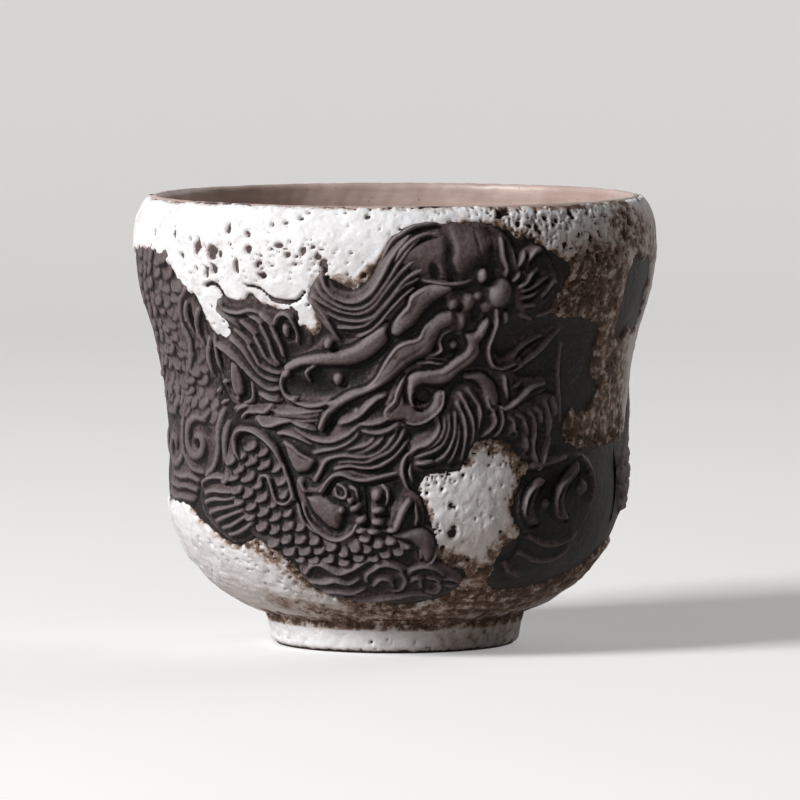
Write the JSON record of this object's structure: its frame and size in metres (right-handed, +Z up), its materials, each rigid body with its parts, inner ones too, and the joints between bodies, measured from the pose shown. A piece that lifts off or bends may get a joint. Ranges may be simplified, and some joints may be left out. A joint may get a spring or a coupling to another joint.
{
  "type": "tea cup",
  "caption": "Handleless stoneware tea cup on a turned foot ring, with a dragon in raised sprigs and poured coats of white slip.",
  "frame": {"origin": "middle of the foot ring's flat face, on the surface the cup stands on", "axes": "+Z up along the wheel's axis through the cup, -Y towards the dragon's head at the front, +X to the right as seen from the front"},
  "size_m": [0.0752, 0.0756, 0.065],
  "materials": {
    "clay": "dark brown-grey stoneware, matte with fine pale specks",
    "bare_foot": "unglazed fired clay",
    "liner": "thin warm brown glaze, satin",
    "slip": "thick white slip, satin, crawled at its edges"
  },
  "bodies": {
    "root": {"thrown_body": "clay", "foot_ring": "bare_foot", "liner_glaze": "liner", "rim_slip": "slip", "belly_slip": "slip", "base_slip": "slip", "foot_slip": "slip", "dragon_head": "clay", "dragon_jaw": "clay", "bristles": "clay", "dragon_horns": "clay", "mane_upper": "clay", "mane_left": "clay", "mane_lower": "clay", "mane_wisps": "clay", "beard": "clay", "dragon_claw": "clay", "scaled_coil": "clay", "swirl": "clay", "cloud_left": "clay", "cloud_high": "clay", "cloud_low": "clay", "curl_right": "clay", "back_coil": "clay", "tail_fin": "clay", "back_cloud": "clay", "high_cloud": "clay"}
  },
  "joints": []
}
